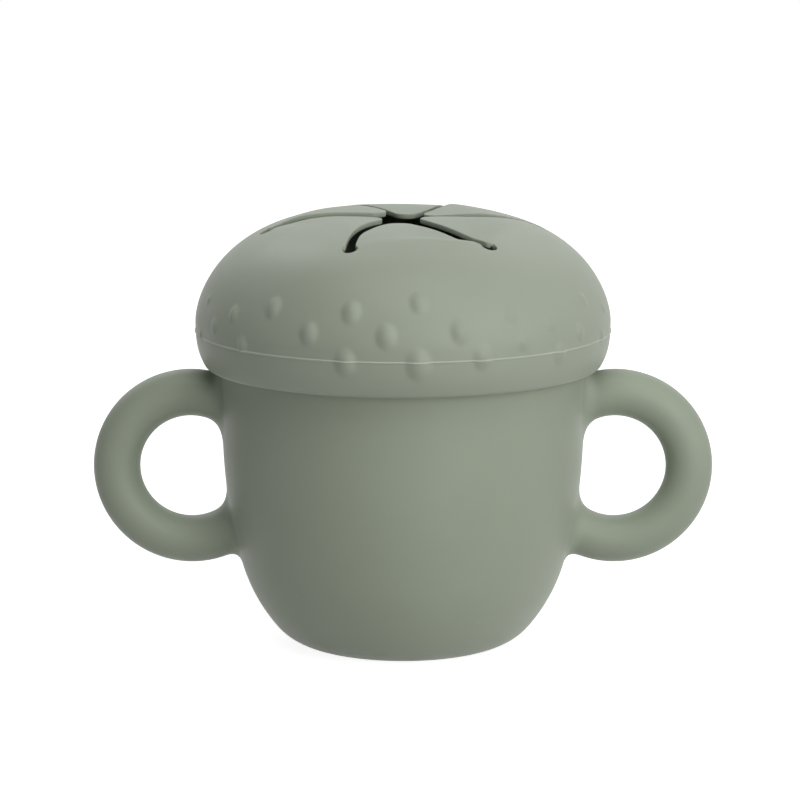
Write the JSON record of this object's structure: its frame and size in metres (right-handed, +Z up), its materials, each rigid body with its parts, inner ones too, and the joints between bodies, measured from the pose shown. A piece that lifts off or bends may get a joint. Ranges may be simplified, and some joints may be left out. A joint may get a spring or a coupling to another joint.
{
  "type": "toddler snack cup",
  "caption": "Soft silicone toddler snack cup with two ring handles and a domed, seed-textured lid that clicks over the rim and has a flexible star valve.",
  "frame": {"origin": "centre of the flat base, on the surface that the cup stands on", "axes": "+Z up along the cup's axis, +X towards the right-hand handle, -Y towards the viewer of the picture"},
  "size_m": [0.1424, 0.0962, 0.0989],
  "materials": {
    "cup_silicone": "matte sage-green silicone",
    "lid_silicone": "matte sage-green silicone"
  },
  "bodies": {
    "cup": {"cup_body": "cup_silicone", "left_handle": "cup_silicone", "right_handle": "cup_silicone"},
    "lid": {"lid_cap": "lid_silicone", "lid_grip_lip": "lid_silicone"},
    "flap_1": {"valve_flap_1": "lid_silicone"},
    "flap_2": {"valve_flap_2": "lid_silicone"},
    "flap_3": {"valve_flap_3": "lid_silicone"},
    "flap_4": {"valve_flap_4": "lid_silicone"},
    "flap_5": {"valve_flap_5": "lid_silicone"},
    "flap_6": {"valve_flap_6": "lid_silicone"}
  },
  "joints": [
    {"name": "lid_lift", "type": "slide", "parent": "cup", "child": "lid", "axis": [0, 0, 1], "range_m": [0, 0.045], "deforming": ["lid_grip_lip"]},
    {"name": "flap_1_bend", "type": "hinge", "parent": "lid", "child": "flap_1", "pos_m": [0.02121, 0.01645, 0.09596], "axis": [0.6129, -0.7902, 0], "range_deg": [-55, 70], "stiffness_Nm_per_rad": 0.01, "springref_deg": -0.4},
    {"name": "flap_2_bend", "type": "hinge", "parent": "lid", "child": "flap_2", "pos_m": [-0.00364, 0.0266, 0.09596], "axis": [0.9907, 0.1357, 0], "range_deg": [-55, 70], "stiffness_Nm_per_rad": 0.01, "springref_deg": -0.4},
    {"name": "flap_3_bend", "type": "hinge", "parent": "lid", "child": "flap_3", "pos_m": [-0.02486, 0.01014, 0.09596], "axis": [0.3778, 0.9259, 0], "range_deg": [-55, 70], "stiffness_Nm_per_rad": 0.01, "springref_deg": -0.4},
    {"name": "flap_4_bend", "type": "hinge", "parent": "lid", "child": "flap_4", "pos_m": [-0.02121, -0.01645, 0.09596], "axis": [-0.6129, 0.7902, 0], "range_deg": [-55, 70], "stiffness_Nm_per_rad": 0.01, "springref_deg": -0.4},
    {"name": "flap_5_bend", "type": "hinge", "parent": "lid", "child": "flap_5", "pos_m": [0.00364, -0.0266, 0.09596], "axis": [-0.9907, -0.1357, 0], "range_deg": [-55, 70], "stiffness_Nm_per_rad": 0.01, "springref_deg": -0.4},
    {"name": "flap_6_bend", "type": "hinge", "parent": "lid", "child": "flap_6", "pos_m": [0.02486, -0.01014, 0.09596], "axis": [-0.3778, -0.9259, 0], "range_deg": [-55, 70], "stiffness_Nm_per_rad": 0.01, "springref_deg": -0.4}
  ]
}
